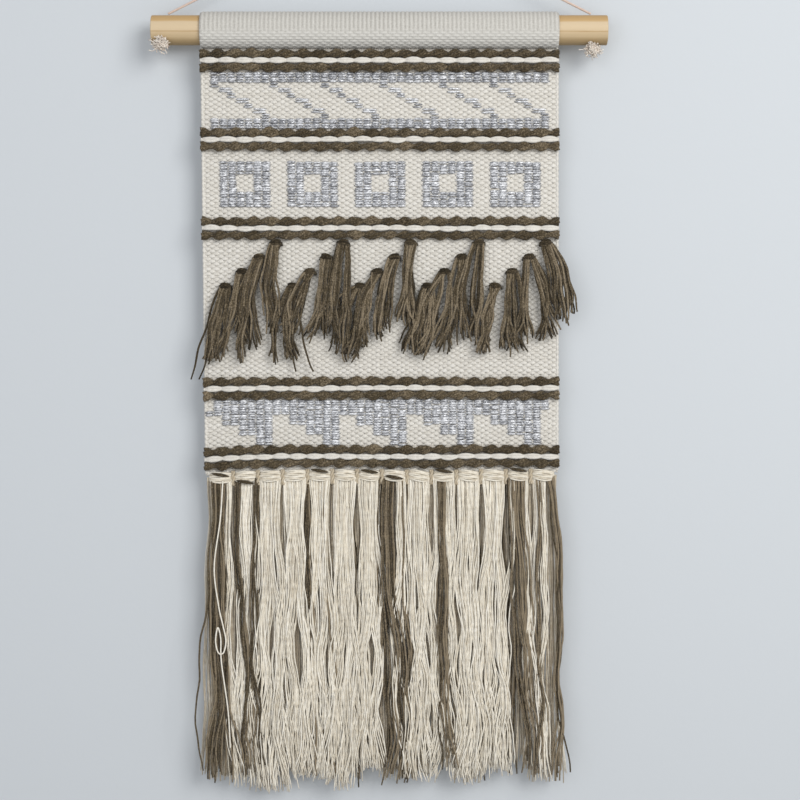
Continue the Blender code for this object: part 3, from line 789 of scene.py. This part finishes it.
# Wool in each bundle, lock by lock: its strands, how far forward it lies, its half width, and
# how far right of the bundle's middle it is at the loop, at each third and at its end, in mm
WOOL = {
    1: [(14, 1.5, 4.8, (-2.8, -2.2, -2.4, -4.0)), (5, 1.6, 3.0, (1.0, 1.0, 4.0, 6.0)),
        (1, 1.9, 0.2, (-6.0, -9.0, -16.0, -19.0))],
    2: [(7, 1.5, 2.4, (-6.5, -4.5, 0.5, 2.0)), (6, 1.4, 2.4, (9.6, 8.6, 6.6, 9.0))],
    3: [],
    4: [(7, 0.4, 2.8, (9.5, 11.0, 17.0, 22.0))],
    5: [(3, 0.7, 1.4, (-9.5, -10.0, -6.0, 0.0)), (1, 1.2, 0.3, (4.0, 6.0, 9.0, 7.0))],
    6: [(2, -0.4, 0.8, (8.0, 9.0, 9.5, 9.0))],
    7: [(7, 0.6, 2.0, (9.6, 8.5, 12.0, 13.5))],
    8: [(14, 1.5, 5.2, (-4.0, -2.5, 3.5, 3.0)), (6, 0.9, 3.0, (4.0, 8.5, 11.0, 14.0))],
    9: [(2, -0.2, 0.8, (-9.0, -9.5, -10.0, -9.0))],
    10: [(11, 1.5, 4.0, (-2.6, -1.5, 1.0, 0.0))],
    11: [(1, -0.4, 0.3, (8.0, 9.0, 9.0, 8.0))],
    12: [(3, -0.3, 1.0, (9.0, 11.0, 13.0, 12.0))],
    13: [(12, 1.2, 6.0, (0.0, 2.5, 8.0, 8.5)), (3, 1.7, 0.8, (-8.0, -6.5, 1.0, 5.0))],
    14: [(5, 1.5, 1.8, (-4.0, -3.0, -3.0, -2.5)), (8, 1.5, 2.6, (5.5, 14.0, 11.0, 9.0)),
         (1, 1.8, 0.2, (5.0, 10.0, 11.0, 22.0))],
}
# Bundles with taupe wool lying over their bar, and how far above the bar's middle it is
WOOL_OVER_BAR = {1: 0.0026, 2: -0.0042, 5: 0.0040, 7: 0.0036, 8: -0.0012, 10: 0.0044, 13: 0.0046}
OVER_BAR_HALF = 0.0074
fringe_cotton = yarn_finish(
    "fringe_cotton", (0.47, 0.40, 0.295), (0.735, 0.68, 0.575), (0.87, 0.835, 0.76),
    twists=180, fleck=260, hairs=3000, bump=0.3, roughness=0.9, sheen=0.2)
chance = np.random.default_rng(53)


def bundle(name, node, locks, thick, finish, points=46, sides=5):
    """Strands of one bundle, lock by lock, from inside its loop down to their cut ends.

    A lock is its strands, how far forward it lies, its half width, its route across at each
    third of its length, how much it sways, and its darkest and lightest tones.
    """
    low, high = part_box(node)
    middle, _, foot = hung([[(low.x + high.x) / 2, 0, cloth_foot]])[0]
    top = high.z - STRANDS_DROP + foot - cloth_foot
    length = top - low.z - CUT_SLANTS * (middle + CLOTH_HALF) / (2 * CLOTH_HALF)
    share = (np.linspace(0, 1, points) ** 1.2)[None, :]
    behind_bar = np.clip(share / 0.035, 0, 1)
    paths, tones = [], []
    for count, forward, wide, route, sway, (darkest, lightest) in locks:
        wide = 0.001 * wide
        line = 0.001 * np.polyval(np.polyfit((0, 1 / 3, 2 / 3, 1), route, 3), share)
        beat = chance.uniform(0, 2 * pi, 3)
        line = line + sway * np.sqrt(share) * (
            0.0014 * np.sin(beat[0] + 8 * share) + 0.0010 * np.sin(beat[1] + 20 * share))
        turning = 0 if wide > 0.006 else chance.uniform(-2.6, 2.6)
        turn = turning * share
        across, deep = spaced(count), spaced(count)
        own = chance.uniform(0, 2 * pi, (count, 4, 1))
        stray = chance.normal(size=(count, 2, 1))
        grow = 1 - 0.16 * np.exp(-((share - 0.15) / 0.09) ** 2) + 0.22 * share
        x = (middle + (line + wide * (across * np.cos(turn) - deep * np.sin(turn))) * grow
             + sway * (0.00060 * np.sin(own[:, 0] + 13 * share)
                       + 0.00044 * np.sin(own[:, 1] + 30 * share)
                       + 0.00020 * np.sin(own[:, 2] + 64 * share)) * np.sqrt(share)
             + 0.0011 * stray[:, 1] * np.sin(pi * share) + 0.0030 * stray[:, 0] * share**4)
        y = (-0.0010 - 0.0031 * forward * (0.70 + 0.35 * share) * behind_bar
             + 0.0014 * (across * np.sin(turn) + deep * np.cos(turn))
             + sway * 0.0006 * np.sin(own[:, 3] + 11 * share) * np.sqrt(share))
        y = np.clip(y, -0.0098, 0.0080)
        cut = chance.uniform(0, 0.022) + chance.uniform(0, 0.050, (count, 1))
        z = top - length * (1 - cut) * share + 0 * x
        paths.append(np.stack([x, y, z], axis=-1))
        tones.append(chance.uniform(darkest, lightest, (count, 1)))
    paths = np.concatenate(paths)
    size = np.broadcast_to(thick * (1 - 0.2 * share**8), paths.shape[:2])
    strands = spin_yarns(name, paths, size, size, sides, (1, 0, 0), np.concatenate(tones),
                         plies=2, ply_turn=0.006, groove=0.14)
    strands.data.materials.append(finish)
    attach(strands, node)
    return strands


for number in range(1, BUNDLES + 1):
    node = f"fringe_{number:02d}"
    low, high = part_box(node)
    half = (high.x - low.x) / 2
    middle, _, foot = hung([[(low.x + high.x) / 2, 0, cloth_foot]])[0]
    back_half = 1180 * half  # in mm, a little wider than the bundle
    # The middle layer's low tones reach the dark tan end of the fringe cotton: painted shade in the
    # gaps between locks.
    painted_shade_layer = (28, -0.9, back_half, (0, 0, 0, 0), 0.5, (-0.34, 0.26))
    rear = (26, -2.0, back_half, (0, 0, 0, 0), 0.8, (0.20, 0.80))
    bundle(f"{node}_back", node, [painted_shade_layer, rear], BACK_COTTON_RADIUS, fringe_cotton,
           points=26, sides=4)
    locks = []
    for place in FRINGE_LOCKS:
        across = place * 1000 * half
        hidden = [lock for lock in WOOL[number]
                  if lock[0] > 4 and lock[1] > 1 and abs(across - lock[3][0]) < 0.9 * lock[2]]
        if not hidden:
            drift = chance.normal(0, 1.8, 2)
            locks.append((LOCK_STRANDS, chance.uniform(0.6, 1.3), LOCK_HALF,
                          (across, 0.92 * across, 1.02 * across + drift[0],
                           1.10 * across + drift[1]), COTTON_SWAY, (0.30, 0.95)))
    strands = bundle(f"{node}_cotton", node, locks, COTTON_RADIUS, fringe_cotton)
    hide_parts(node)
    if WOOL[number]:
        bundle(f"{node}_wool", node,
               [(*lock, WOOL_SWAY, (0.35, 1.05)) for lock in WOOL[number]],
               WOOL_RADIUS, wool)
    turn = np.linspace(0, 2 * pi * BAR_TURNS, 24 * BAR_TURNS)
    level = turn / (2 * pi * BAR_TURNS)
    tilt, skew = 0.0006 * chance.normal(), chance.uniform(0.7, 1.3)
    belly = 0.86 + 0.14 * np.sin(pi * level**skew) ** 0.6
    wide = (half - 0.0002 + 0.0005 * chance.normal()) * belly
    pinch = 1 - 0.25 * np.abs(np.cos(turn)) ** 3
    bar_z = high.z - BAR_DROP + foot - cloth_foot
    bar = np.stack([
        middle - wide * np.cos(turn), -0.0004 - BAR_DEPTH * belly * np.sin(turn),
        bar_z + (0.5 - level) * BAR_HEIGHT * pinch + tilt * np.cos(turn)
        + 0.00030 * np.sin(2.3 * turn)], axis=1)
    loop = spin_yarns(f"{node}_loop", [bar], *LOOP_SIZE, 8, (0, 0, 1),
                      [0.45 + 0.25 * np.sin(1.7 * turn)], plies=2, ply_turn=0.008, groove=0.16)
    loop.data.materials.append(fringe_cotton)
    loops = [loop]
    if number in WOOL_OVER_BAR:
        along = np.linspace(-1, 1, 14)
        arch = np.cos(along * pi / 2)
        over = np.stack([middle + along * OVER_BAR_HALF, -0.0052 - 0.0016 * arch,
                         bar_z + WOOL_OVER_BAR[number] - 0.0012 * along], axis=1)
        thin = 0.00030 + 0.00130 * arch**0.7
        loops.append(spin_yarns(f"{node}_bar_wool", [over], thin, 0.7 * thin, 10, (0, 0, 1),
                                [[0.35]], plies=3, ply_turn=0.012, groove=0.2))
        loops[1].data.materials.append(wool)
    for piece in loops:
        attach(piece, node)

# The last warps, twisted together in twos, come down between the bars
STUB_RADIUS = 0.00105
STUB_LAY = 0.0009  # from the middle of the pair
STUB_TWIST = 620  # radians to a metre
stub_levels = np.linspace(cloth_foot + 0.0010, cloth_foot - 0.0115, 16)
stub_paths = []
for number in range(1, BUNDLES):
    left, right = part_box(f"fringe_{number:02d}")[1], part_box(f"fringe_{number + 1:02d}")[0]
    for ply in (0, pi):
        turn = ply + STUB_TWIST * (cloth_foot - stub_levels)
        stub_paths.append(np.stack([(left.x + right.x) / 2 + STUB_LAY * np.cos(turn),
                                    -0.0026 - STUB_LAY * np.sin(turn), stub_levels], axis=1))
# Their low tone gives them the dark tan end of the fringe cotton: painted shade between the bars.
stubs = spin_yarns("foot_warps", hung(stub_paths), STUB_RADIUS, STUB_RADIUS, 8, (1, 0, 0),
                   np.full((len(stub_paths), 1), -0.30), plies=2, ply_turn=0.005, groove=0.2)
stubs.data.materials.append(fringe_cotton)
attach(stubs, "cloth")

# One cotton strand of the first bundle has slipped out into a loop. Each place on its route is
# how far right of the bundle's middle and how far below its top it is, in mm, and its lift
SLIPPED_ROUTE = (
    (6.0, 8, -2.0), (4.0, 40, -0.5), (-1.0, 80, 0), (2.5, 112, 0), (6.5, 130, 0.2),
    (8.8, 142, 0.6), (6.8, 152, 0.8), (2.5, 152, 0.9), (0.2, 142, 0.8), (2.0, 131, 0.4),
    (4.4, 140, 0), (5.0, 160, 0), (10.5, 200, 0), (12.5, 232, -0.4),
)
SLIPPED_RADIUS = 0.00062
low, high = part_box("fringe_01")
slipped = rounded_route([
    ((low.x + high.x) / 2 + 0.001 * right_by, -0.0082 - 0.0012 * lift, high.z - 0.001 * down_by)
    for right_by, down_by, lift in SLIPPED_ROUTE], 0.0015)
loose = spin_yarns("fringe_01_slipped_strand", [slipped], SLIPPED_RADIUS, SLIPPED_RADIUS, 8,
                   (0, 1, 0.1), [[0.9]], plies=2, ply_turn=0.006, groove=0.14)
loose.data.materials.append(fringe_cotton)
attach(loose, "fringe_01")

# ---- Wall, nail and floor ----
# The hanging is shown against a pale painted wall, from a small steel nail, above a plain
# pale floor. None of them is part of it.

WALL_Y = 0.0185
FLOOR_Z = -0.81
NAIL_RADIUS = 0.0012
NAIL_LENGTH = 0.024
bpy.ops.mesh.primitive_plane_add(size=1, location=(0.02, WALL_Y, -0.30), rotation=(pi / 2, 0, 0))
wall = bpy.context.object
wall.name = "wall"
wall.scale = (1.3, 1.02, 1)
bpy.ops.object.transform_apply(location=True, rotation=True, scale=True)
paint = Finish("wall_paint", Roughness=0.9)
spot = paint.node("TexCoord", output=3)
stipple = paint.node("TexNoise", inputs={"Vector": spot, "Scale": 260.0, "Detail": 4.0})
paint.shader.inputs["Base Color"].default_value = (0.545, 0.575, 0.605, 1)
paint.feed("Normal", paint.node("Bump", inputs={
    "Strength": 0.05, "Distance": 0.001, "Height": stipple}))
clear = paint.tree.nodes.new("ShaderNodeBsdfTransparent")
seen = paint.tree.nodes.new("ShaderNodeMixShader")
face = paint.tree.nodes.new("ShaderNodeNewGeometry")
links = paint.tree.links
links.new(face.outputs["Backfacing"], seen.inputs[0])
links.new(paint.shader.outputs[0], seen.inputs[1])
links.new(clear.outputs[0], seen.inputs[2])
links.new(seen.outputs[0], paint.tree.nodes["Material Output"].inputs["Surface"])
wall.data.materials.append(paint.material)
wall.visible_shadow = False
wall.visible_diffuse = False
wall.visible_glossy = False
wall.visible_transmission = False

bpy.ops.mesh.primitive_cylinder_add(
    vertices=24, radius=NAIL_RADIUS, depth=NAIL_LENGTH,
    location=(0, WALL_Y - NAIL_LENGTH / 2, -NAIL_RADIUS), rotation=(pi / 2, 0, 0))
nail = bpy.context.object
bpy.ops.object.transform_apply(location=True, rotation=True, scale=True)
nail.name = "nail"
steel = Finish("nail_steel", Roughness=0.35, Metallic=0.9)
steel.shader.inputs["Base Color"].default_value = (0.5, 0.5, 0.5, 1)
nail.data.materials.append(steel.material)

bpy.ops.mesh.primitive_plane_add(size=4, location=(0, 0, FLOOR_Z))
floor = bpy.context.object
floor.name = "floor"
boards = Finish("floor_paint", Roughness=0.8)
boards.shader.inputs["Base Color"].default_value = (0.60, 0.60, 0.60, 1)
floor.data.materials.append(boards.material)

# ---- Light ----
# A large soft window to the upper right and in front, a weaker fill from the left, and a pale
# cool room all round.

for name, place, target, size, power, colour in (
        ("window", (1.25, -2.0, 0.50), (0, 0, -0.38), 1.4, 42, (1.0, 0.985, 0.955)),
        ("fill", (-0.9, -2.6, -0.1), (0, 0, -0.45), 1.8, 20, (0.98, 0.98, 1.0))):
    lamp = bpy.data.lights.new(name, "AREA")
    lamp.shape = "SQUARE"
    lamp.size = size
    lamp.energy = power
    lamp.color = colour
    light = bpy.data.objects.new(name, lamp)
    bpy.context.scene.collection.objects.link(light)
    light.location = place
    light.rotation_euler = (Vector(target) - Vector(place)).to_track_quat("-Z", "Y").to_euler()
room = bpy.data.worlds.new("room")
room.use_nodes = True
room.node_tree.nodes["Background"].inputs["Color"].default_value = (0.94, 0.97, 1.0, 1)
room.node_tree.nodes["Background"].inputs["Strength"].default_value = 0.445
bpy.context.scene.world = room
